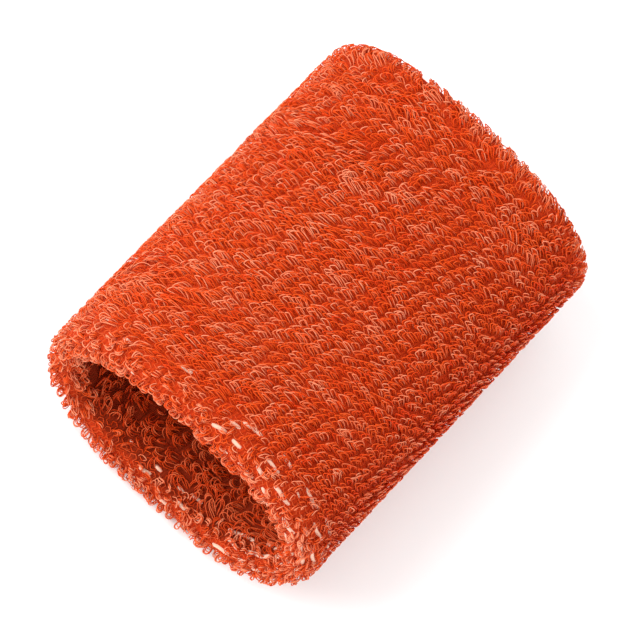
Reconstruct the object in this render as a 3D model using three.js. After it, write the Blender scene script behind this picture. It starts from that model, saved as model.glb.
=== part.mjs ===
// Sweat wristband: one circular-knitted terry tube folded back on itself, so that it has an outer
// and an inner layer joined by a rolled edge at each mouth. Covered elastic yarn is laid in all the
// way round, and the two raw ends of the tube meet inside the band at a closing seam.
// Millimetres, +Z up. The band lies on its side with its axis along Y. The mouth at -Y is propped
// open and nearly round, and the one at +Y has sunk a little flatter.

import * as THREE from 'three';

// Driving dimensions
const BAND_LENGTH = 80;          // from rolled edge to rolled edge
const NEAR_MOUTH_WIDTH = 58;     // outside, over the pile
const NEAR_MOUTH_HEIGHT = 41;
const FAR_MOUTH_WIDTH = 60;
const FAR_MOUTH_HEIGHT = 35.5;
const OVAL_EXPONENT = 2.25;      // 2 is an ellipse, more is squarer
const UNDERSIDE_SINK = 0.7;      // how much of the oval its own weight presses flat
const TERRY_THICKNESS = 2.9;     // one layer, ground knit and pile
const ELASTIC_DIAMETER = 0.5;
const ELASTIC_PITCH = 8;         // of one layer's winding
const SEAM_PLACE = 4;            // where the closing seam lies along Y, inside the band
const SEAM_THREAD_DIAMETER = 1.4;
const CLEARANCE = 0.3;           // between pieces that touch

// Worked out from the sizes above
const LAYER_GAP = ELASTIC_DIAMETER + 2 * CLEARANCE;
const WALL = 2 * TERRY_THICKNESS + LAYER_GAP;
const FOLD_RADIUS = WALL / 2;
const FOLD_CENTRE = BAND_LENGTH / 2 - FOLD_RADIUS;
const INNER_FACE = TERRY_THICKNESS + LAYER_GAP;
const LAYER_END = FOLD_CENTRE - CLEARANCE / 2;
const SEAM_HALF_GAP = SEAM_THREAD_DIAMETER / 2 + CLEARANCE;

// Fineness of the solids
const SIDES = 40;
const FOLD_STEPS = 6;
const THREAD_SIDES = 8;
const ELASTIC_SIDES = 4;
const LATHE_RADIUS = 20;         // of the round blank that is pressed into the oval

const terry = (color) => new THREE.MeshStandardMaterial({ color, roughness: 0.95, metalness: 0 });
const outerTerry = terry(0xd9481f);
const innerTerry = terry(0xb83d1a);
const seamThread = terry(0xc9431e);
const elastic = new THREE.MeshStandardMaterial({ color: 0xe8c4b2, roughness: 0.6, metalness: 0 });

const band = new THREE.Group();
band.name = 'sweat_wristband';

function signedPower(value, power) {
  return Math.sign(value) * Math.abs(value) ** power;
}

// Half width and half height of the oval at a place along the band
function halfSizes(y) {
  const along = (y + BAND_LENGTH / 2) / BAND_LENGTH;
  return {
    a: THREE.MathUtils.lerp(NEAR_MOUTH_WIDTH, FAR_MOUTH_WIDTH, along) / 2,
    b: (THREE.MathUtils.lerp(NEAR_MOUTH_HEIGHT, FAR_MOUTH_HEIGHT, along) + UNDERSIDE_SINK) / 2,
  };
}

// A point in the wall: turn 0 to 1 once round, y along the band, depth in from the pile's outside.
// The oval's own normal carries the depth, so the wall is equally thick all the way round.
function wallPoint(turn, y, depth) {
  const { a, b } = halfSizes(y);
  const angle = turn * 2 * Math.PI;
  const x = a * signedPower(Math.cos(angle), 2 / OVAL_EXPONENT);
  const z = b * signedPower(Math.sin(angle), 2 / OVAL_EXPONENT);
  const normal = new THREE.Vector2(
    signedPower(x / a, OVAL_EXPONENT - 1) / a,
    signedPower(z / b, OVAL_EXPONENT - 1) / b,
  ).normalize();
  const floor = UNDERSIDE_SINK - b + depth;
  return new THREE.Vector3(x - normal.x * depth, y, Math.max(z - normal.y * depth, floor) - UNDERSIDE_SINK + b);
}

// A profile of [y, depth] corners is turned into a round blank, whose points then move to the oval
function ovalRing(name, profile, material) {
  const corners = profile.map(([y, depth]) => new THREE.Vector2(LATHE_RADIUS - depth, y));
  corners.push(corners[0].clone());
  const blank = new THREE.LatheGeometry(corners, SIDES);
  const position = blank.getAttribute('position');
  for (let i = 0; i < position.count; i += 1) {
    const depth = LATHE_RADIUS - Math.hypot(position.getX(i), position.getZ(i));
    const side = Math.floor(i / corners.length) % SIDES;
    const point = wallPoint(side / SIDES, position.getY(i), depth);
    position.setXYZ(i, point.x, point.y, point.z);
  }
  blank.computeVertexNormals();
  const mesh = new THREE.Mesh(blank, material);
  mesh.name = name;
  band.add(mesh);
}

// Corners of a layer's flat strip of wall between two places and two depths
function strip(yLow, yHigh, depthOut, depthIn) {
  return [[yLow, depthOut], [yLow, depthIn], [yHigh, depthIn], [yHigh, depthOut]];
}

// Corners of an arc in the wall's thickness, about the middle of the fold
function foldArc(end, radius, from, to) {
  const arc = [];
  for (let i = 0; i <= FOLD_STEPS; i += 1) {
    const angle = THREE.MathUtils.lerp(from, to, i / FOLD_STEPS);
    const y = end * (FOLD_CENTRE + CLEARANCE / 2 + radius * Math.sin(angle));
    arc.push([y, FOLD_RADIUS - radius * Math.cos(angle)]);
  }
  return arc;
}

// The knit turning back over itself at a mouth: outer arc out and round, inner arc back
function rolledEdge(name, end) {
  const outside = foldArc(end, FOLD_RADIUS - CLEARANCE / 2, 0, Math.PI);
  const inside = foldArc(end, LAYER_GAP / 2, Math.PI, 0);
  const profile = [...outside, ...inside];
  if (end > 0) {
    profile.reverse();
  }
  ovalRing(name, profile, outerTerry);
}

// A yarn wound round the band in the gap between the layers, in whole turns from one place on
class WoundYarn extends THREE.Curve {
  constructor(start, turns) {
    super();
    this.start = start;
    this.turns = turns;
  }

  getPoint(t) {
    const turn = t * this.turns;
    return wallPoint(turn, this.start + turn * ELASTIC_PITCH, FOLD_RADIUS);
  }
}

// As many whole turns as fit between two places, with the first one at a whole or half pitch
function elasticYarn(name, low, high, phase) {
  const origin = phase * ELASTIC_PITCH - LAYER_END + ELASTIC_DIAMETER;
  const start = origin + Math.ceil((low - origin) / ELASTIC_PITCH) * ELASTIC_PITCH;
  const turns = Math.max(1, Math.floor((high - start) / ELASTIC_PITCH));
  const section = new THREE.Shape();
  for (let i = 0; i < ELASTIC_SIDES; i += 1) {
    const angle = (i / ELASTIC_SIDES) * 2 * Math.PI;
    const corner = new THREE.Vector2(Math.cos(angle), Math.sin(angle)).multiplyScalar(ELASTIC_DIAMETER / 2);
    if (i === 0) {
      section.moveTo(corner.x, corner.y);
    } else {
      section.lineTo(corner.x, corner.y);
    }
  }
  section.closePath();
  const route = new WoundYarn(start, turns);
  const yarn = new THREE.ExtrudeGeometry(section, { extrudePath: route, steps: turns * SIDES });
  const mesh = new THREE.Mesh(yarn, elastic);
  mesh.name = name;
  band.add(mesh);
}

// Round section of a thread that follows the wall at one place and depth
function threadProfile(y, depth, diameter, sides) {
  const profile = [];
  for (let i = 0; i < sides; i += 1) {
    const angle = (i / sides) * 2 * Math.PI;
    profile.push([y + diameter / 2 * Math.sin(angle), depth - diameter / 2 * Math.cos(angle)]);
  }
  return profile.reverse();
}

// Outer layer and the two rolled edges
ovalRing('outer_terry_layer', strip(-LAYER_END, LAYER_END, 0, TERRY_THICKNESS), outerTerry);
rolledEdge('near_rolled_edge', -1);
rolledEdge('far_rolled_edge', 1);

// Inner layer, in two lengths that meet at the closing seam
const seamNear = SEAM_PLACE - SEAM_HALF_GAP;
const seamFar = SEAM_PLACE + SEAM_HALF_GAP;
ovalRing('inner_terry_layer_near', strip(-LAYER_END, seamNear, INNER_FACE, WALL), innerTerry);
ovalRing('inner_terry_layer_far', strip(seamFar, LAYER_END, INNER_FACE, WALL), innerTerry);
ovalRing(
  'closing_seam_thread',
  threadProfile(SEAM_PLACE, INNER_FACE + TERRY_THICKNESS / 2, SEAM_THREAD_DIAMETER, THREAD_SIDES),
  seamThread,
);

// Elastic laid in the ground knit: a winding along each layer, the inner ones half a pitch off the
// outer one so that they never cross, and a ring in each fold
const windingEnd = LAYER_END - ELASTIC_DIAMETER;
elasticYarn('outer_elastic_yarn', -windingEnd, windingEnd, 0);
elasticYarn('inner_elastic_yarn_near', -windingEnd, seamNear, 0.5);
elasticYarn('inner_elastic_yarn_far', seamFar, windingEnd, 0.5);
for (const [name, end] of [['near_edge_elastic', -1], ['far_edge_elastic', 1]]) {
  const place = end * (FOLD_CENTRE + CLEARANCE / 2);
  ovalRing(name, threadProfile(place, FOLD_RADIUS, ELASTIC_DIAMETER, THREAD_SIDES), elastic);
}

export default band;
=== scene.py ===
"""Terry sweat wristband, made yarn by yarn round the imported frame.

One knitted tube is folded back on itself. Its ground knit is a thin sheet with a course of yarn on
it every 1.3 mm, and out of that stand the pile loops, each of two to five strands of yarn. Lengths
in this script are millimetres until a piece is made, and the pieces are in metres.
"""
import math

import bpy
import numpy as np
from mathutils import Matrix, Vector


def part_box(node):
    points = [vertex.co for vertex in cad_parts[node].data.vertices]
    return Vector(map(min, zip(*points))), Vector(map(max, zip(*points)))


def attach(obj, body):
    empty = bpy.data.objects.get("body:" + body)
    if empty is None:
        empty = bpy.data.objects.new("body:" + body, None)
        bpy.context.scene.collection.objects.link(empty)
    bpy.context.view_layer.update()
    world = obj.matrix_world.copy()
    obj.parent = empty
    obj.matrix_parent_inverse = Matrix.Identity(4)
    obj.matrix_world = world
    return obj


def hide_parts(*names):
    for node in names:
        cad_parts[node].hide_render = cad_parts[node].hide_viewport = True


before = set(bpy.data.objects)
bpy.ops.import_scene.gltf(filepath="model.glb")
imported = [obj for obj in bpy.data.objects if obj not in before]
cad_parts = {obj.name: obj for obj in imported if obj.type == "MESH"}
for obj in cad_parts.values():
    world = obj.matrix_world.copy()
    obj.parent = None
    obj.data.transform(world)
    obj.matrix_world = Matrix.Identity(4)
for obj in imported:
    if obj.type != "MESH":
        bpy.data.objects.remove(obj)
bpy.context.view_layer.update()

MM = 0.001
TAU = 2 * math.pi
rng = np.random.default_rng(11)

# ---------------------------------------------------------------- the wall, from the frame


def corners(node):
    """A CAD node's corners in millimetres."""
    mesh = bpy.data.objects[node].data
    flat = np.empty(len(mesh.vertices) * 3)
    mesh.vertices.foreach_get("co", flat)
    return flat.reshape(-1, 3) / MM


def end_size(points, end):
    """(y, width, height) of a layer at its end in the direction -1 or 1 along Y."""
    y = end * (end * points[:, 1]).max()
    tolerance = 0.05
    rim = points[np.abs(points[:, 1] - y) < tolerance]
    return y, rim[:, 0].max() - rim[:, 0].min(), rim[:, 2].max() - rim[:, 2].min()


OUTER = corners("outer_terry_layer")
NEAR_Y, NEAR_WIDTH, NEAR_HEIGHT = end_size(OUTER, -1)
FAR_Y, FAR_WIDTH, FAR_HEIGHT = end_size(OUTER, 1)
HALF_LENGTH = (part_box("far_rolled_edge")[1][1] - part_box("near_rolled_edge")[0][1]) / MM / 2
FOLD_RADIUS = HALF_LENGTH - FAR_Y  # of a rolled edge: from the middle of the wall to the pile's tips
FOLD_CENTRE = FAR_Y  # how far along Y a rolled edge's own middle is
SEAM_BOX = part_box("closing_seam_thread")
SEAM_Y = (SEAM_BOX[0][1] + SEAM_BOX[1][1]) / 2 / MM
SEAM_DIAMETER = (SEAM_BOX[1][1] - SEAM_BOX[0][1]) / MM
LOWER_LIP = 1.0  # how far the near mouth's lower lip hangs out past the upper one
OVAL_EXPONENT = 2.25  # of the mouths' superellipse
UNDERSIDE_SINK = 0.7  # how much of it the flat strip along the underside takes off

# The knit
WALES = 61  # columns of loops round the band
COURSE = 1.31  # from one course to the next
EDGE_COURSE = 0.85  # the same in the folds
PILE_HEIGHT = 1.65  # from the ground knit to the tips of the loops
EDGE_PILE_HEIGHT = 1.4  # the same in the folds
EDGE_LENGTH = 6  # over which the pile gets lower towards a fold
EDGE_STAGGER = 0.5  # how far every other course in a fold stands over, in wales
SKEW = 0.207  # sideways drift of a wale for each millimetre along it
STRAND = 0.09  # radius of one strand of a pile loop
STRAND_SIDES = 4
GROUND_THICKNESS = 0.35
FLOOR_SOFTNESS = 0.35  # how thick the pile is where it is pressed on what it lies on
FLAT_RADIUS = FOLD_RADIUS - PILE_HEIGHT  # from the middle of the wall to the ground knit
GROUND_RADIUS = FOLD_RADIUS - EDGE_PILE_HEIGHT  # of the ground knit in a fold

FOLD_LENGTH = math.pi * GROUND_RADIUS
STRAIGHT = 2 * FOLD_CENTRE
# Places along the tube, from its raw end at the seam: the ends of the inner layer, fold, outer
# layer, fold and inner layer
SEAM_GAP = SEAM_DIAMETER / 2
NEAR_INNER = SEAM_Y + FOLD_CENTRE - SEAM_GAP
ENDS = np.cumsum([0, NEAR_INNER, FOLD_LENGTH, STRAIGHT, FOLD_LENGTH, FOLD_CENTRE - SEAM_Y - SEAM_GAP])
TUBE_LENGTH = ENDS[-1]
MIDDLE = (ENDS[2] + ENDS[3]) / 2  # of the outer layer: what comes before it is the near half


def signed_power(value, power):
    return np.sign(value) * np.abs(value) ** power


def oval(turn, y, depth):
    """Points in the wall, as part of the frame's own shape: depth is in from the pile's outside."""
    along = (y - NEAR_Y) / (FAR_Y - NEAR_Y)
    a = (NEAR_WIDTH + (FAR_WIDTH - NEAR_WIDTH) * along) / 2
    b = (NEAR_HEIGHT + (FAR_HEIGHT - NEAR_HEIGHT) * along + UNDERSIDE_SINK) / 2
    angle = turn * TAU
    x = a * signed_power(np.cos(angle), 2 / OVAL_EXPONENT)
    z = b * signed_power(np.sin(angle), 2 / OVAL_EXPONENT)
    nx = signed_power(x / a, OVAL_EXPONENT - 1) / a
    nz = signed_power(z / b, OVAL_EXPONENT - 1) / b
    size = np.hypot(nx, nz)
    x, z = x - nx / size * depth, z - nz / size * depth
    z = np.maximum(z, UNDERSIDE_SINK - b + depth)
    lip = LOWER_LIP * np.clip(-np.sin(angle), 0, 1) * np.clip(-y / HALF_LENGTH, 0, 1) ** 3
    return np.stack([x, y - lip, z - UNDERSIDE_SINK + b], -1)


# Shares of the way round at even steps of length, so that the wales are evenly spaced
FINE_TURNS = np.linspace(0, 1, 2001)
FINE_RING = oval(FINE_TURNS, np.zeros(2001), PILE_HEIGHT)
FINE_LENGTH = np.concatenate([[0], np.cumsum(np.linalg.norm(np.diff(FINE_RING, axis=0), axis=1))])
ROUND_LENGTH = FINE_LENGTH[-1]


def turn_at(share):
    return np.interp(np.mod(share, 1), FINE_LENGTH / ROUND_LENGTH, FINE_TURNS)


def wall_radius(y):
    """From the middle of the wall to the ground knit, which parts towards the folds."""
    edge = np.clip((np.abs(y) - FOLD_CENTRE) / EDGE_LENGTH + 1, 0, 1)
    return FLAT_RADIUS + (GROUND_RADIUS - FLAT_RADIUS) * edge * edge * (3 - 2 * edge)


def place(share, s, h):
    """Points over the ground knit: a share of the way round, s along the tube from its raw end, and
    h out from the ground knit."""
    share, s, h = np.broadcast_arrays(*(np.asarray(v, float) for v in (share, s, h)))
    inner_near = s < ENDS[1]
    near_fold = (s >= ENDS[1]) & (s < ENDS[2])
    outer = (s >= ENDS[2]) & (s < ENDS[3])
    far_fold = (s >= ENDS[3]) & (s < ENDS[4])
    radius = GROUND_RADIUS + h
    near_angle = math.pi - (s - ENDS[1]) / GROUND_RADIUS
    far_angle = (s - ENDS[3]) / GROUND_RADIUS
    y = np.select(
        [inner_near, near_fold, outer, far_fold],
        [
            SEAM_Y - SEAM_GAP - s,
            -FOLD_CENTRE - radius * np.sin(near_angle),
            s - ENDS[2] - FOLD_CENTRE,
            FOLD_CENTRE + radius * np.sin(far_angle),
        ],
        FOLD_CENTRE - (s - ENDS[4]),
    )
    flat = wall_radius(y) + h
    depth = np.select(
        [near_fold, outer, far_fold],
        [
            FOLD_RADIUS - radius * np.cos(near_angle),
            FOLD_RADIUS - flat,
            FOLD_RADIUS - radius * np.cos(far_angle),
        ],
        FOLD_RADIUS + flat,
    )
    return oval(turn_at(share), y, depth)


def unit(v):
    return v / np.maximum(np.linalg.norm(v, axis=-1, keepdims=True), 1e-9)


def slide(s, distance, h):
    """The place along the tube at a distance from s, as measured h above the ground knit."""
    wider = h / GROUND_RADIUS
    folds = np.clip(s - ENDS[1], 0, FOLD_LENGTH) + np.clip(s - ENDS[3], 0, FOLD_LENGTH)
    target = s + wider * folds + distance
    arc = FOLD_LENGTH * (1 + wider)
    first = np.clip(target - ENDS[1], 0, arc)
    second = np.clip(target - ENDS[3] - wider * FOLD_LENGTH, 0, arc)
    return target - (first + second) * wider / (1 + wider)


def girth_at(share, s):
    """The length of the whole way round at the local rate: layers further in are shorter."""
    step = 0.0004
    return np.linalg.norm(place(share + step, s, 0) - place(share - step, s, 0), axis=-1) / (2 * step)


def drift(share, s, waves, longest, seed):
    """Smooth noise over the cloth, about -1 to 1, which closes on itself round the band."""
    own = np.random.default_rng(seed)
    total = 0
    for _ in range(waves):
        times = own.integers(-6, 7)
        rate = TAU / longest * own.uniform(0.4, 2.2)
        total = total + np.cos(TAU * times * share + rate * s + own.uniform(0, TAU))
    return total / math.sqrt(waves / 2)


# ---------------------------------------------------------------- meshes of many yarns


class Yarns:
    """Closed tubes collected for one piece."""

    def __init__(self):
        self.points, self.quads, self.caps = [], [], []
        self.bake, self.cap_bake, self.lengths, self.tints = [], [], [], []
        self.count = 0
        self.tubes = 0

    def add(self, paths, radius, sides, tint=None):
        """paths is (tubes, points, 3); radius is a number or one for each point, and so is tint,
        which says how pale the yarn is."""
        tubes, steps = paths.shape[:2]
        ahead = unit(np.gradient(paths, axis=1))
        first = np.empty_like(paths)
        some_way = (0.31, 0.52, 0.79)  # no yarn starts along it
        carried = np.cross(ahead[:, 0], some_way)
        for k in range(steps):
            carried = unit(carried - (carried * ahead[:, k]).sum(-1, keepdims=True) * ahead[:, k])
            first[:, k] = carried
        second = np.cross(ahead, first)
        angle = np.arange(sides) / sides * TAU
        radius = np.broadcast_to(np.asarray(radius, float), (tubes, steps))[..., None, None]
        ring = (
            paths[:, :, None, :]
            + radius * np.cos(angle)[:, None] * first[:, :, None, :]
            + radius * np.sin(angle)[:, None] * second[:, :, None, :]
        )
        start = self.count + np.arange(tubes)[:, None, None] * steps * sides
        k = np.arange(steps - 1)[None, :, None] * sides
        j = np.arange(sides)[None, None, :]
        nxt = (j + 1) % sides
        quad = np.stack([start + k + j, start + k + nxt, start + k + sides + nxt, start + k + sides + j], -1)
        self.quads.append(quad.reshape(-1, 4))
        head = np.broadcast_to(start[:, 0, :] + np.arange(sides)[::-1], (tubes, sides))
        tail = np.broadcast_to(start[:, 0, :] + (steps - 1) * sides + np.arange(sides), (tubes, sides))
        self.caps.append(np.stack([head, tail], 1).reshape(-1, sides))
        self.points.append(ring.reshape(-1, 3))
        along = np.concatenate(
            [np.zeros((tubes, 1)), np.cumsum(np.linalg.norm(np.diff(paths, axis=1), axis=-1), 1)], 1
        )
        self.lengths.append(np.repeat(along, sides, axis=1).reshape(-1))
        tint = rng.random((tubes, 1)) if tint is None else tint
        self.tints.append(np.repeat(np.broadcast_to(tint, (tubes, steps)), sides, axis=1).ravel())
        self.bake.append((tubes, steps, sides, self.tubes))
        self.count += tubes * steps * sides
        self.tubes += tubes

    def maps(self):
        """The bake's map, which has a cell for each tube, and the yarn's own map, in millimetres along
        it and turns round it; both for every corner of the quads and then of the caps."""
        wide = math.ceil(math.sqrt(self.tubes))
        cell = 1 / wide
        margin = 0.12  # of a cell, left free round a tube's quads; its caps lie in it
        quads, caps, own, own_caps = [], [], [], []
        for (tubes, steps, sides, first), length in zip(self.bake, self.lengths):
            number = first + np.arange(tubes)
            corner = np.stack([number % wide, number // wide], -1) * cell
            k = np.arange(steps - 1)[:, None, None]
            j = np.arange(sides)[None, :, None]
            kk = k + np.array([0, 0, 1, 1])
            jj = j + np.array([0, 1, 1, 0])
            kk, jj = np.broadcast_arrays(kk, jj)
            inside = np.stack([kk / (steps - 1), jj / sides], -1) * (1 - 2 * margin) + margin
            quads.append((corner[:, None, None, None, :] + inside[None] * cell).reshape(-1, 2))
            real = length.reshape(tubes, steps, sides)[:, :, 0]
            run = real[:, kk]
            around = np.broadcast_to(jj / sides, run.shape)
            own.append(np.stack([run, around], -1).reshape(-1, 2))
            turn = np.arange(sides) / sides * TAU
            dot = np.stack([np.cos(turn), np.sin(turn)], -1) * margin * 0.3
            middle = margin * 0.45
            at = np.array([[middle, 0.5], [1 - middle, 0.5]])
            both = at[:, None, :] + dot[None]
            caps.append((corner[:, None, None, :] + both[None] * cell).reshape(-1, 2))
            own_caps.append(np.zeros((tubes * 2 * sides, 2)))
        return np.concatenate(quads + caps), np.concatenate(own + own_caps)

    def make(self, name, material, on_floor=False):
        points = np.concatenate(self.points)
        if on_floor:
            low = points[:, 2] < FLOOR_SOFTNESS
            points[low, 2] = FLOOR_SOFTNESS * np.exp(points[low, 2] / FLOOR_SOFTNESS - 1)
        quads = np.concatenate(self.quads)
        corner_list = [quads.reshape(-1)] + [c.reshape(-1) for c in self.caps]
        sizes = np.concatenate([np.full(len(quads), 4)] + [np.full(len(c), c.shape[1]) for c in self.caps])
        indices = np.concatenate(corner_list)
        mesh = bpy.data.meshes.new(name)
        mesh.vertices.add(len(points))
        mesh.vertices.foreach_set("co", (points * MM).astype(np.float32).ravel())
        mesh.loops.add(len(indices))
        mesh.loops.foreach_set("vertex_index", indices.astype(np.int32))
        mesh.polygons.add(len(sizes))
        starts = np.concatenate([[0], np.cumsum(sizes)[:-1]])
        mesh.polygons.foreach_set("loop_start", starts.astype(np.int32))
        mesh.polygons.foreach_set("use_smooth", np.ones(len(sizes), bool))
        mesh.update(calc_edges=True)
        bake, own = self.maps()
        for title, values in (("OFBake", bake), ("Yarn", own)):
            layer = mesh.uv_layers.new(name=title)
            layer.data.foreach_set("uv", values.astype(np.float32).ravel())
        tint = mesh.attributes.new("tint", "FLOAT", "POINT")
        tint.data.foreach_set("value", np.concatenate(self.tints).astype(np.float32))
        mesh.materials.append(material)
        piece = bpy.data.objects.new(name, mesh)
        bpy.context.scene.collection.objects.link(piece)
        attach(piece, "root")
        return piece


# ---------------------------------------------------------------- materials


class Nodes:
    """Short names for building a material."""

    def __init__(self, name):
        self.material = bpy.data.materials.new(name)
        self.material.use_nodes = True
        self.tree = self.material.node_tree
        self.shader = self.tree.nodes["Principled BSDF"]

    def node(self, kind, **values):
        made = self.tree.nodes.new("ShaderNode" + kind)
        for key, value in values.items():
            setattr(made, key, value)
        return made

    def link(self, out, into):
        self.tree.links.new(out, into)

    def mix(self, factor, a, b):
        """A colour between a and b, each a colour or a socket."""
        made = self.node("Mix", data_type="RGBA")
        self.link(factor, made.inputs["Factor"])
        for value, socket in ((a, made.inputs["A"]), (b, made.inputs["B"])):
            if isinstance(value, tuple):
                socket.default_value = (*value, 1)
            else:
                self.link(value, socket)
        return made.outputs["Result"]

    def curve(self, socket, low, high):
        """socket's values spread from low..high to 0..1."""
        made = self.node("MapRange")
        made.inputs["From Min"].default_value = low
        made.inputs["From Max"].default_value = high
        self.link(socket, made.inputs["Value"])
        return made.outputs["Result"]


# Wave texture scales: about three bands across a wale of the ground's map, and a band along the
# yarn's own map about every 1.3 twists
STITCH_BANDS = 0.98696
PLY_BANDS = 0.49348


def yarn_material(name, dark, light, pale, twist, sheen):
    """Spun or covered yarn: each strand has its own tone, with the twist of its plies and fibres, and the
    palest tones are partly painted highlight.
    twist is in millimetres."""
    n = Nodes(name)
    own = n.node("UVMap", uv_map="Yarn")
    ply = n.node("Mapping")
    ply.inputs["Scale"].default_value = (1 / twist, 1, 0)
    n.link(own.outputs["UV"], ply.inputs["Vector"])
    wave = n.node("TexWave", bands_direction="DIAGONAL", wave_profile="SIN")
    wave.inputs["Scale"].default_value = PLY_BANDS
    wave.inputs["Distortion"].default_value = 0.6
    wave.inputs["Detail"].default_value = 1
    n.link(ply.outputs["Vector"], wave.inputs["Vector"])
    space = n.node("TexCoord")
    fibre = n.node("TexNoise")
    fibre.inputs["Scale"].default_value = 2600
    fibre.inputs["Detail"].default_value = 3
    n.link(space.outputs["Object"], fibre.inputs["Vector"])
    patch = n.node("TexNoise")
    patch.inputs["Scale"].default_value = 55
    patch.inputs["Detail"].default_value = 2
    n.link(space.outputs["Object"], patch.inputs["Vector"])
    # A strand's tone is its own tint, which on the pile also carries painted highlights, and, less, the
    # patch of cloth that it is in
    tint = n.node("Attribute", attribute_name="tint")
    shade = n.node("Math", operation="MULTIPLY_ADD")
    n.link(tint.outputs["Fac"], shade.inputs[0])
    shade.inputs[1].default_value = 0.72
    n.link(n.curve(patch.outputs["Fac"], 0.0, 3.0), shade.inputs[2])
    # From dark through light to pale: the pale end is partly the strands' own paler tone and partly painted
    # highlight, put in colour instead of light
    ramp = n.node("ValToRGB")
    stops = ramp.color_ramp.elements
    stops[0].position, stops[0].color = 0.15, (*dark, 1)
    stops[1].position, stops[1].color = 0.85, (*pale, 1)
    middle = stops.new(0.5)
    middle.color = (*light, 1)
    n.link(shade.outputs["Value"], ramp.inputs["Fac"])
    dusty = tuple(min(1, 0.9 * c + 0.03) for c in light)
    colour = n.mix(n.curve(fibre.outputs["Fac"], 0.55, 1.1), ramp.outputs["Color"], dusty)
    n.link(colour, n.shader.inputs["Base Color"])
    height = n.node("Math", operation="MULTIPLY_ADD")
    n.link(fibre.outputs["Fac"], height.inputs[0])
    height.inputs[1].default_value = 0.5
    n.link(wave.outputs["Fac"], height.inputs[2])
    relief = n.node("Bump")
    relief.inputs["Strength"].default_value = 0.25
    relief.inputs["Distance"].default_value = 0.00006
    n.link(height.outputs["Value"], relief.inputs["Height"])
    n.link(relief.outputs["Normal"], n.shader.inputs["Normal"])
    n.shader.inputs["Roughness"].default_value = 0.5
    n.shader.inputs["Specular IOR Level"].default_value = 0.12
    n.shader.inputs["Sheen Weight"].default_value = sheen
    n.shader.inputs["Sheen Roughness"].default_value = 0.4
    n.shader.inputs["Sheen Tint"].default_value = (1, 0.62, 0.5, 1)
    return n.material


def ground_material():
    """The ground knit seen between the loops: small stitches, in colours darker than the pile's that paint
    in part of the gaps' shade, and painted darker still in the inner layer as shade inside the band.
    """
    n = Nodes("ground_knit_cloth")
    cloth = n.node("UVMap", uv_map="Cloth")
    stitch = n.node("TexWave", bands_direction="X", wave_profile="SIN")
    stitch.inputs["Scale"].default_value = STITCH_BANDS
    stitch.inputs["Distortion"].default_value = 2.5
    stitch.inputs["Detail"].default_value = 2
    n.link(cloth.outputs["UV"], stitch.inputs["Vector"])
    space = n.node("TexCoord")
    noise = n.node("TexNoise")
    noise.inputs["Scale"].default_value = 1500
    noise.inputs["Detail"].default_value = 4
    n.link(space.outputs["Object"], noise.inputs["Vector"])
    # Darker and redder than the pile: part of the shade in the gaps between the loops is painted into these
    # colours
    colour = n.mix(stitch.outputs["Fac"], (0.42, 0.025, 0.001), (0.52, 0.037, 0.001))
    colour = n.mix(n.curve(noise.outputs["Fac"], 0.55, 0.9), colour, (0.55, 0.05, 0.003))
    # Painted shade: the ground of the inner layers is darkened, for the shade inside the band
    inner_shade = n.node("Attribute", attribute_name="inner_shade")
    colour = n.mix(inner_shade.outputs["Fac"], colour, (0.24, 0.018, 0.001))
    n.link(colour, n.shader.inputs["Base Color"])
    relief = n.node("Bump")
    relief.inputs["Strength"].default_value = 0.6
    relief.inputs["Distance"].default_value = 0.0002
    n.link(stitch.outputs["Fac"], relief.inputs["Height"])
    n.link(relief.outputs["Normal"], n.shader.inputs["Normal"])
    n.shader.inputs["Roughness"].default_value = 0.9
    n.shader.inputs["Specular IOR Level"].default_value = 0.2
    return n.material


PILE = yarn_material("pile_cotton", (0.7, 0.04, 0.001), (0.72, 0.078, 0.005), (0.82, 0.27, 0.14), 0.9, 0.03)
# The inner layers' pile is the same cotton as the outside's, in darker colours: painted shade for the inside
# of the band
INNER_PILE_PAINTED_SHADE = yarn_material(
    "inner_pile_cotton_painted_shade", (0.5, 0.026, 0.001), (0.66, 0.056, 0.003), (0.78, 0.15, 0.05), 0.9, 0.03
)
GROUND_YARN = yarn_material(
    "ground_yarn", (0.5, 0.03, 0.001), (0.58, 0.045, 0.002), (0.68, 0.09, 0.02), 0.6, 0.02
)
ELASTIC = yarn_material(
    "covered_elastic", (0.72, 0.38, 0.26), (0.86, 0.58, 0.44), (0.97, 0.78, 0.64), 0.35, 0.1
)
SEAM = yarn_material("seam_thread", (0.6, 0.035, 0.004), (0.82, 0.07, 0.01), (0.9, 0.15, 0.06), 0.5, 0.1)
GROUND = ground_material()

# ---------------------------------------------------------------- the pile


def wale_share(wale, s):
    """Share of the way round of a wale at a place along the tube: wales run at a slight skew."""
    return (wale - SKEW * (s - ENDS[2]) / (ROUND_LENGTH / WALES)) / WALES


def below(share):
    """1 round the underside, falling to 0 at the flanks."""
    return np.clip(-2 * np.sin(TAU * share), 0, 1)


def loop_table():
    """The wale and the place along the tube of every loop. A few are missing round the near fold,
    most of all below, and the elastic shows there."""
    wales, places = [], []
    pitches = (COURSE, EDGE_COURSE, COURSE, EDGE_COURSE, COURSE)
    for low, high, pitch in zip(ENDS[:-1], ENDS[1:], pitches):
        count = round((high - low) / pitch)
        courses = low + (np.arange(count) + 0.5) * (high - low) / count
        stagger = EDGE_STAGGER * (pitch == EDGE_COURSE) * (np.arange(count) % 2)
        wales.append((np.arange(WALES)[None, :] + stagger[:, None]).ravel())
        places.append(np.repeat(courses, WALES))
    wale, s = np.concatenate(wales), np.concatenate(places)
    missing = np.where(s < MIDDLE, 0.12 + 0.08 * below(wale / WALES), 0)
    bare = np.clip(near_fold(s, 5) * 2, 0, 1) * missing
    kept = rng.random(len(s)) > bare * np.clip(1 + drift(wale_share(wale, s), s, 9, 9, 5), 0, 2)
    return wale[kept], s[kept]


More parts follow.
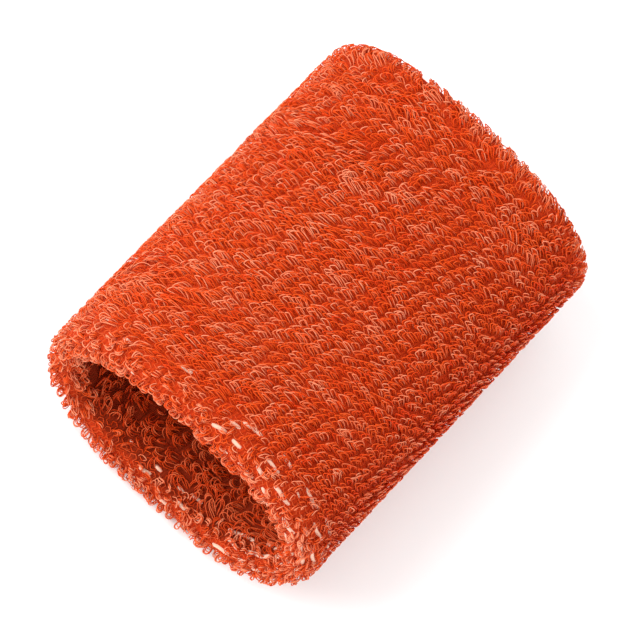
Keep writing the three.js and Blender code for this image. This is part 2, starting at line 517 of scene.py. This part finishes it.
def near_fold(s, reach):
    """1 in the folds, falling to 0 at a reach from them."""
    near = np.maximum(np.maximum(ENDS[1] - s, s - ENDS[2]), 0)
    far = np.maximum(np.maximum(ENDS[3] - s, s - ENDS[4]), 0)
    return np.clip(1 - np.minimum(near, far) / reach, 0, 1)


# The points of a loop from foot to foot: how far across, as a share of its width, and how far up its
# legs and up its crown, as shares of each
LEG = np.array([0, 0.36, 0.7, 1])
CROWN = np.radians([150, 120, 90, 60, 30])
ACROSS = np.concatenate([-0.4 - 0.1 * LEG, 0.5 * np.cos(CROWN), 0.4 + 0.1 * LEG[::-1]])
UP_LEG = np.concatenate([LEG, 1 + 0 * CROWN, LEG[::-1]])
UP_CROWN = np.concatenate([0 * LEG, np.sin(CROWN) ** 0.8, 0 * LEG])
# Painted highlight: how pale a loop is painted at each of those points, palest part way up its legs and on
# top of its crown, where light would catch it
PAINTED_GLEAM = np.array([0, 0.8, 0.9, 0.2, 0.3, 0.8, 1, 0.8, 0.3, 0.2, 0.9, 0.8, 0])


def loop_paths(wale, s, rise, width, roundness, upright, bend, lean, crown, twirl, wobble):
    """Paths of the loops. roundness is a crown's height as a share of its width. upright and bend are
    the angle to the cloth's normal at the feet, and how much that grows up to the crown. lean and
    crown are the ways that a loop leans and that its crown runs, as angles from round the band
    towards along the tube. twirl turns the feet from the crown."""
    share = wale_share(wale, s)
    girth = girth_at(share, s)[:, None]
    upright, bend, lean = upright[:, None], bend[:, None], lean[:, None]
    length = rise[:, None] * bend / (np.sin(upright + bend) - np.sin(upright))
    depth = np.minimum((roundness * width)[:, None], 0.7 * length)
    up = (UP_LEG * (length - depth) + UP_CROWN * depth) / length
    height = (np.sin(upright + bend * up) - np.sin(upright)) / bend * length
    slip = (np.cos(upright) - np.cos(upright + bend * up)) / bend * length
    crown_way = crown[:, None] + twirl[:, None] * (up - 1)
    across = ACROSS * width[:, None]
    swell = np.sin(np.pi * np.minimum(up, 0.9))
    round_it = across * np.cos(crown_way) + slip * np.cos(lean) + wobble[:, :1] * swell
    along = across * np.sin(crown_way) + slip * np.sin(lean) + wobble[:, 1:] * swell
    return place(share[:, None] + round_it / girth, slide(s[:, None], along, height), height)


# How the outside's loops stand, in degrees: the way they lean and the way their crown runs, both from
# round the band towards along the tube, and how far they lie over at the feet and bend from there on
LEAN = -8
CROWN_WAY = 128
UPRIGHT = 33
BEND = 41
FOLD_LEAN = 60  # the way they lean in a fold, over the rim
INNER_UPRIGHT = 44  # the inner layer's curls lie further over
INNER_BEND = 22
LOOP_WIDTH = 1.4
INNER_LOOP_WIDTH = 1.5
STANDING_SHARE = 0.8  # of the near fold's loops, which stand up as open rings

# For each strand of a loop: how far it is set in from each side of the loop, its height as a share of
# the loop's, how far along the loop's lean and along its crown it stands, and how much it strays
STRANDS = (
    (0, 1, 0, 0, 0.8),
    (0.12, 0.94, -0.2, 0.45, 1),
    (0.06, 0.97, 0.3, -0.42, 1.1),
    (0.1, 0.7, 0.2, 0.2, 1.2),
    (0.3, 0.5, -0.3, 0, 1.2),
)


def pile_room(share, s):
    """How high the pile may stand over the ground knit."""
    folded = ((s >= ENDS[1]) & (s < ENDS[2])) | ((s >= ENDS[3]) & (s < ENDS[4]))
    return np.where(folded, EDGE_PILE_HEIGHT, FOLD_RADIUS - wall_radius(place(share, s, 0)[:, 1]))


def pile(wale, s, loose, strands):
    """The strands of each loop; loose is 0 for combed rows and 1 for a tangled pile."""

    def stray(combed, tangled, noise):
        """noise, as much as combed rows have and then more as the pile is tangled."""
        return (combed + tangled * loose) * noise

    count = len(s)
    share = wale_share(wale, s)
    outside = (s >= ENDS[1]) & (s < ENDS[4])
    near_half = s < MIDDLE
    over_rim = np.where(outside, near_fold(s, 3.5), 0)
    far_rim = near_fold(s, 1.5) * ~near_half * outside
    low = below(share)
    n = rng.standard_normal((count, 10)).T
    standing = (near_fold(s, 0.5) == 1) & (s < ENDS[2]) & (rng.random(count) < STANDING_SHARE)

    to_mouth = np.where(near_half, -FOLD_LEAN, FOLD_LEAN)
    lean = LEAN + (to_mouth - LEAN) * over_rim + stray(5, 22, n[0])
    lean = lean + stray(4, 24, drift(share, s, 9, 30, 1))
    crown = CROWN_WAY + (lean - LEAN) * 0.35 - 25 * over_rim + stray(6, 22, n[1])
    crown = crown + stray(4, 24, drift(share, s, 9, 22, 2))
    lean = np.where(outside, lean, lean + 180)
    crown = np.where(outside, crown, lean + 90 + 20 * n[1])
    crown = np.where(standing, 12 * n[9], crown)
    twirl = np.where(outside, 10 + 50 * loose, 15) * n[2]
    upright = UPRIGHT - 18 * loose + stray(4, 10, n[3])
    upright = np.where(standing, 0.4 * upright, upright) + 9 * far_rim
    upright = np.where(outside, upright, INNER_UPRIGHT + 10 * n[3])
    upright = np.radians(np.clip(upright, 0, 54))
    bend = BEND + stray(5, 11, n[4])
    bend = np.where(standing, 0.45 * bend, bend)
    bend = np.where(outside, bend, INNER_BEND + 8 * n[4])
    bend = np.minimum(np.radians(np.clip(bend, 8, 70)), np.radians(84) - upright)

    taller = (0.1 + 0.22 * low) * standing
    rise = (pile_room(share, s) - STRAND) * (1 - 0.05 * np.abs(n[5])) * np.where(outside, 1 + taller, 0.9)
    width = (LOOP_WIDTH + 0.18 * n[6]) * (1 - 0.2 * np.maximum(loose, over_rim))
    width = np.clip(np.where(outside, width, INNER_LOOP_WIDTH + 0.25 * n[6]), 1.1, 3.1)
    roundness = np.where(outside, 0.24 + 0.14 * loose, 0.7) * (1 - 0.3 * far_rim)
    roundness = np.where(standing, 0.5 + 0.25 * low, roundness)
    # How far apart the strands of a loop stand: rings and curls are bundled
    spread = np.where(standing, 0.3 - 0.1 * low, np.where(outside, 1, 0.45))
    s = s + stray(0.06, 0.2, n[7])
    wale = wale + stray(0.03, 0.08, n[8])
    paler = (0.08 * loose + 0.12 * near_fold(s, 5) * near_half)[:, None]
    lean_x, lean_y = np.cos(np.radians(lean)), np.sin(np.radians(lean))
    crown_x, crown_y = np.cos(np.radians(crown)), np.sin(np.radians(crown))
    paths, tints = [], []
    for inset, height, ahead, slid, straying in STRANDS[:strands]:
        own = rng.standard_normal((count, 7)).T * straying
        aside = ahead * lean_x + slid * crown_x + stray(0.09, 0.25, own[5])
        onward = ahead * lean_y + slid * crown_y + stray(0.1, 0.5, own[6])
        paths.append(
            loop_paths(
                wale + spread * aside / (ROUND_LENGTH / WALES),
                s + spread * onward,
                rise * (height + 0.02 * own[0]),
                np.maximum(width - spread * (2 * inset - 0.15 * own[1]), 0.45),
                roundness,
                upright,
                bend,
                np.radians(lean + 5 * own[2]),
                np.radians(crown + 6 * own[3]),
                np.radians(twirl + 8 * own[4]),
                rng.normal(0, 0.1, (count, 2)),
            )
        )
        # Each strand's own tone at random, plus the painted highlight along its legs and crown
        tint = 0.74 * rng.random((count, 1)) ** 1.3 + 0.42 * PAINTED_GLEAM * rng.random((count, 1))
        tints.append(tint + paler)
    return np.concatenate(paths), np.concatenate(tints)


def add_pile(name, chosen, wale, s, material, node, loose, strands):
    yarns = Yarns()
    paths, tints = pile(wale[chosen], s[chosen], loose[chosen], strands)
    yarns.add(paths, STRAND, STRAND_SIDES, tints)
    piece = yarns.make(name, material, on_floor=True)
    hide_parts(node)
    return piece


def looseness(wale, s):
    """Combed on most of the outside, a little less towards the far end, and more tangled down one
    flank, in the folds and inside."""
    share = np.mod(wale_share(wale, s), 1)
    outer = (s >= ENDS[2]) & (s < ENDS[3])
    flank = np.exp(-(((share - 0.46) / 0.1) ** 2))
    far_half = np.clip((s - MIDDLE) / 30, 0, 1)
    return np.clip(np.where(outer, 0.6 * flank + 0.12 * far_half + 0.02, 0.85) + 0.4 * near_fold(s, 4), 0, 1)


def make_pile():
    wale, s = loop_table()
    loose = looseness(wale, s)
    made = []
    # A title, between which of ENDS it runs, how many pieces it makes, its looks and what it replaces,
    # and the strands in each loop
    zones = (
        ("inner_near_pile", 0, 1, 4, INNER_PILE_PAINTED_SHADE, "inner_terry", "inner_terry_layer_near", 3),
        ("near_edge_pile", 1, 2, 1, PILE, "outer_terry", "near_rolled_edge", 4),
        ("outer_pile", 2, 3, 6, PILE, "outer_terry", "outer_terry_layer", 3),
        ("far_edge_pile", 3, 4, 2, PILE, "outer_terry", "far_rolled_edge", 5),
        ("inner_far_pile", 4, 5, 2, INNER_PILE_PAINTED_SHADE, "inner_terry", "inner_terry_layer_far", 2),
    )
    for title, low, high, parts, material, slot, node, strands in zones:
        edges = np.linspace(ENDS[low], ENDS[high], parts + 1)
        for i in range(parts):
            chosen = (s >= edges[i]) & (s < edges[i + 1])
            name = title if parts == 1 else f"{title}_{i + 1}"
            made.append(add_pile(name, chosen, wale, s, material, node, loose, strands))
    return made


# ---------------------------------------------------------------- ground knit, elastic and seam


def make_ground():
    """The sheet that the loops stand on, open at its raw ends, which meet at the seam."""
    per_wale = 3
    across, down = WALES * per_wale, 200
    shares = np.arange(across) / across
    places = np.linspace(0, TUBE_LENGTH, down)
    share, s = np.meshgrid(shares, places, indexing="ij")
    points = place(wale_share(share * WALES, s), s, 0).reshape(-1, 3)
    i = np.arange(across)[:, None]
    j = np.arange(down - 1)[None, :]
    nxt = (i + 1) % across
    quads = np.stack([i * down + j, nxt * down + j, nxt * down + j + 1, i * down + j + 1], -1).reshape(-1, 4)
    mesh = bpy.data.meshes.new("ground_knit")
    mesh.from_pydata((points * MM).tolist(), [], quads.tolist())
    mesh.polygons.foreach_set("use_smooth", np.ones(len(quads), bool))
    across_uv = np.stack([i + 0 * j, i + 1 + 0 * j, i + 1 + 0 * j, i + 0 * j], -1).reshape(-1)
    down_uv = np.stack([j + 0 * i, j + 0 * i, j + 1 + 0 * i, j + 1 + 0 * i], -1).reshape(-1)
    stitch_map = ("Cloth", 1 / per_wale, TUBE_LENGTH / down / COURSE)
    for title, wide, long in (("OFBake", 1 / across, 1 / (down - 1)), stitch_map):
        layer = mesh.uv_layers.new(name=title)
        values = np.stack([across_uv * wide, down_uv * long], -1)
        layer.data.foreach_set("uv", values.astype(np.float32).ravel())
    # 1 on the inner layers, where the ground is painted darker as shade
    inner_shade = mesh.attributes.new("inner_shade", "FLOAT", "POINT")
    inner_shade.data.foreach_set("value", ((s < ENDS[1] + 1) | (s > ENDS[4] - 1)).astype(np.float32).ravel())
    mesh.materials.append(GROUND)
    mesh.update()
    piece = bpy.data.objects.new("ground_knit", mesh)
    bpy.context.scene.collection.objects.link(piece)
    thick = piece.modifiers.new("thickness", "SOLIDIFY")
    thick.thickness = GROUND_THICKNESS * MM
    thick.offset = 0
    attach(piece, "root")
    return piece


GROUND_YARN_RADIUS = 0.12
GROUND_YARN_SIDES = 4


def make_ground_yarn():
    """One yarn for each course of the outer layer and the folds, in the waves of a knitted stitch."""
    yarns = Yarns()
    per_wale = 6
    t = np.arange(WALES * per_wale + 1) / per_wale
    courses = np.arange(COURSE, TUBE_LENGTH, COURSE)
    courses = courses[(courses > ENDS[1] - 1) & (courses < ENDS[4] + 1)]
    paths = []
    for s in courses:
        run = s + 0.5 * COURSE * np.cos(TAU * t)
        share = wale_share(t + 0.16 * np.sin(2 * TAU * t), s)
        paths.append(place(share, run, 0.22 + 0.12 * np.cos(2 * TAU * t)))
    yarns.add(np.array(paths), GROUND_YARN_RADIUS, GROUND_YARN_SIDES)
    piece = yarns.make("ground_yarn", GROUND_YARN)
    return piece


ELASTIC_RADIUS = 0.36
ELASTIC_SIDES = 7
WINDING_PITCH = 8
WINDING_INSET = 0.25  # from a CAD winding's ends to the middle of its yarn
PASS_TURNS = 6


def make_elastic():
    """The covered elastic: the windings between the layers, and the passes in the folds. The near
    fold's rise and show where its pile is open, and the far fold's lie deeper."""
    made = []
    for node in ("outer_elastic_yarn", "inner_elastic_yarn_near", "inner_elastic_yarn_far"):
        low, high = (edge[1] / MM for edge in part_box(node))
        turns = max(1, round((high - low - 2 * WINDING_INSET) / WINDING_PITCH))
        turn = np.linspace(0, turns, turns * 120 + 1)
        y = low + WINDING_INSET + turn * WINDING_PITCH
        path = oval(np.mod(turn, 1), y, np.full_like(turn, FOLD_RADIUS))
        made.append((node, node, path))
    # A node, the places where its passes start and end, and how deep they lie in the knit
    passes = (
        ("near_edge_elastic", ENDS[1] - 1.5, ENDS[2] + 4, 0.15),
        ("far_edge_elastic", ENDS[3] - 3, ENDS[4] + 1, 0.5),
    )
    for node, low, high, sunk in passes:
        turn = np.linspace(0, PASS_TURNS, PASS_TURNS * 360 + 1)
        s = low + (high - low) * turn / PASS_TURNS
        wander = 0.25 * np.sin(TAU * turn * 9.3) + 0.2 * np.sin(TAU * turn * 23.7)
        showing = drift(-turn, s * 80, 12, 9, 6) - 0.8 + 1.1 * np.cos(TAU * turn)
        path = place(-turn, s + wander, 0.3 * np.clip(showing / 0.5, -1, 1) - sunk)
        made.append((node.replace("elastic", "elastic_passes"), node, path))
    pieces = []
    for name, node, path in made:
        yarns = Yarns()
        yarns.add(path[None], ELASTIC_RADIUS, ELASTIC_SIDES)
        piece = yarns.make(name + "_covered", ELASTIC)
        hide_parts(node)
        pieces.append(piece)
    return pieces


SEAM_TURNS = 64
SEAM_THREAD_RADIUS = 0.16
SEAM_THREAD_SIDES = 6


def make_seam():
    """The overlock chain that closes the tube inside: two threads wound round the seam."""
    yarns = Yarns()
    share = np.linspace(0, 1, SEAM_TURNS * 12 + 1)
    turn = turn_at(np.minimum(share, 1 - 1e-9))
    depth_middle = FOLD_RADIUS + GROUND_RADIUS + 0.55
    for phase in (0, 0.5):
        angle = TAU * (SEAM_TURNS * share + phase)
        y = SEAM_Y + 0.62 * np.cos(angle) + 0.25 * np.sin(angle * 0.5)
        path = oval(turn, y, depth_middle + 0.5 * np.sin(angle))
        yarns.add(path[None], SEAM_THREAD_RADIUS, SEAM_THREAD_SIDES)
    piece = yarns.make("closing_seam_chain", SEAM)
    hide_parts("closing_seam_thread")
    return piece


# ---------------------------------------------------------------- camera, light and floor

# The photo's view of the band. AZIMUTH is from the near mouth's side, and ROLL turns the picture.
ELEVATION, AZIMUTH, ROLL = (math.radians(v) for v in (65.4, 1.3, 42.2))
DISTANCE = 0.5515  # metres
LENS = 183.7
FRAMING = (-0.0009, -0.0023)  # metres that the aim is off the band's middle, to the right and up


def camera_axes():
    back = Vector(
        (
            math.sin(AZIMUTH) * math.cos(ELEVATION),
            -math.cos(AZIMUTH) * math.cos(ELEVATION),
            math.sin(ELEVATION),
        )
    )
    level = Vector((math.cos(AZIMUTH), math.sin(AZIMUTH), 0))
    top = back.cross(level)
    right = level * math.cos(ROLL) + top * math.sin(ROLL)
    up = top * math.cos(ROLL) - level * math.sin(ROLL)
    return right, up, back


def make_camera(middle):
    right, up, back = camera_axes()
    data = bpy.data.cameras.new("camera")
    data.lens = LENS
    data.clip_start = 0.01
    camera = bpy.data.objects.new("camera", data)
    spot = middle + right * FRAMING[0] + up * FRAMING[1] + back * DISTANCE
    turned = Matrix((right, up, back)).transposed().to_4x4()
    camera.matrix_world = Matrix.Translation(spot) @ turned
    bpy.context.scene.collection.objects.link(camera)
    bpy.context.scene.camera = camera


def area_light(name, middle, way, distance, size, power):
    data = bpy.data.lights.new(name, "AREA")
    data.shape = "DISK"
    data.size = size
    data.energy = power
    light = bpy.data.objects.new(name, data)
    way = way.normalized()
    light.location = middle + way * distance
    light.rotation_euler = way.to_track_quat("Z", "Y").to_euler()
    bpy.context.scene.collection.objects.link(light)


def make_studio(middle):
    right, up, back = camera_axes()
    area_light("key", middle, -right * 0.62 + up * 0.45 + back * 0.88, 1.6, 1.1, 20.5)
    area_light("fill", middle, right * 0.6 - up * 0.3 + back * 0.8, 1.6, 1.4, 6)
    world = bpy.data.worlds.new("studio")
    bpy.context.scene.world = world
    world.use_nodes = True
    world.node_tree.nodes["Background"].inputs["Color"].default_value = (1, 1, 1, 1)
    world.node_tree.nodes["Background"].inputs["Strength"].default_value = 1
    bpy.ops.mesh.primitive_plane_add(size=6)
    floor = bpy.context.object
    floor.name = "floor"
    n = Nodes("pale_floor")
    n.shader.inputs["Base Color"].default_value = (0.97, 0.97, 0.97, 1)
    n.shader.inputs["Roughness"].default_value = 0.9
    floor.data.materials.append(n.material)
    bpy.context.scene.view_settings.view_transform = "Standard"


# ---------------------------------------------------------------- assembly

centre = Vector((0, 0, NEAR_HEIGHT / 2 * MM))
make_camera(centre)
make_studio(centre)
cloth = make_ground()
on_it = [*make_pile(), make_ground_yarn(), *make_elastic(), make_seam()]
